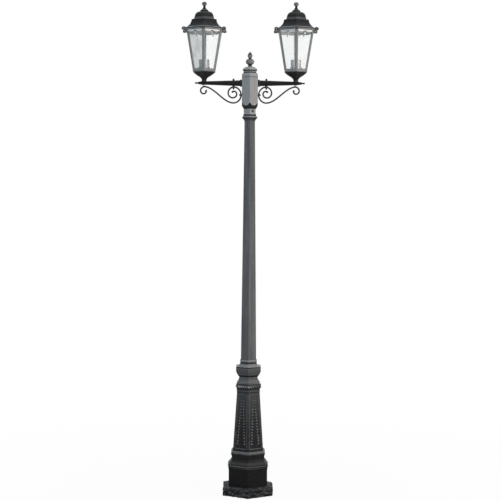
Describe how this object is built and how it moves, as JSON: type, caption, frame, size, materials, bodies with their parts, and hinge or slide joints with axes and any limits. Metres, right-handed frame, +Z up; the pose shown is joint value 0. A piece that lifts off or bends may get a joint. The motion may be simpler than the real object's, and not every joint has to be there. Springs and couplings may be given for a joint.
{
  "type": "street lamp post",
  "caption": "Lamp post of stacked hexagonal castings that carries a glazed lantern with a lift-off roof on each scroll-braced arm.",
  "frame": {"origin": "on the ground, at the middle of the foot's underside, under the post's axis", "axes": "+Z up along the post; the arms point along -X and +X; -Y is the side that the picture shows, with a corner of each hexagon towards it"},
  "size_m": [0.6332, 0.2714, 2.2992],
  "materials": {
    "black_casting": "satin black coating, rubbed grey on edges",
    "grey_casting": "weathered grey-black coating",
    "light_casting": "weathered light grey coating",
    "black_steel": "satin black paint",
    "zinc_steel": "dull zinc",
    "brass": "plain",
    "satin_sleeve": "satin",
    "white_insulator": "smooth",
    "clear_glass": "clear"
  },
  "bodies": {
    "post": {"collar_casting": "grey_casting", "foot_casting": "black_casting", "hub_casting": "light_casting", "left_arm": "black_casting", "left_arm_tip": "black_casting", "left_base_cup": "black_casting", "left_cage": "light_casting", "left_glass_pane_1": "clear_glass", "left_glass_pane_2": "clear_glass", "left_glass_pane_3": "clear_glass", "left_glass_pane_4": "clear_glass", "left_glass_pane_5": "clear_glass", "left_glass_pane_6": "clear_glass", "left_lamp_sleeve": "satin_sleeve", "left_scroll": "black_steel", "left_scroll_bolt": "black_steel", "left_scroll_nut": "black_steel", "left_scroll_wall_screw": "black_steel", "left_socket_base": "white_insulator", "left_socket_shell": "brass", "left_stem": "zinc_steel", "left_stem_nut": "zinc_steel", "neck_set_screw_1": "zinc_steel", "neck_set_screw_2": "zinc_steel", "neck_set_screw_3": "zinc_steel", "pedestal_casting": "black_casting", "right_arm": "black_casting", "right_arm_tip": "black_casting", "right_base_cup": "black_casting", "right_cage": "light_casting", "right_glass_pane_1": "clear_glass", "right_glass_pane_2": "clear_glass", "right_glass_pane_3": "clear_glass", "right_glass_pane_4": "clear_glass", "right_glass_pane_5": "clear_glass", "right_glass_pane_6": "clear_glass", "right_lamp_sleeve": "satin_sleeve", "right_scroll": "black_steel", "right_scroll_bolt": "black_steel", "right_scroll_nut": "black_steel", "right_scroll_wall_screw": "black_steel", "right_socket_base": "white_insulator", "right_socket_shell": "brass", "right_stem": "zinc_steel", "right_stem_nut": "zinc_steel", "shaft_casting": "grey_casting", "tie_nut_lower": "zinc_steel", "tie_nut_upper": "zinc_steel", "tie_tube": "zinc_steel"},
    "left_roof": {"left_roof": "black_casting", "left_roof_knob": "black_casting", "left_roof_screw_1": "zinc_steel", "left_roof_screw_2": "zinc_steel"},
    "right_roof": {"right_roof": "black_casting", "right_roof_knob": "black_casting", "right_roof_screw_1": "zinc_steel", "right_roof_screw_2": "zinc_steel"},
    "hub_lid": {"hub_lid": "light_casting", "post_finial": "light_casting"}
  },
  "joints": [
    {"name": "left_roof_lift", "type": "slide", "parent": "post", "child": "left_roof", "axis": [0, 0, 1], "range_m": [0, 0.12]},
    {"name": "right_roof_lift", "type": "slide", "parent": "post", "child": "right_roof", "axis": [0, 0, 1], "range_m": [0, 0.12]},
    {"name": "hub_lid_lift", "type": "slide", "parent": "post", "child": "hub_lid", "axis": [0, 0, 1], "range_m": [0, 0.06]}
  ]
}
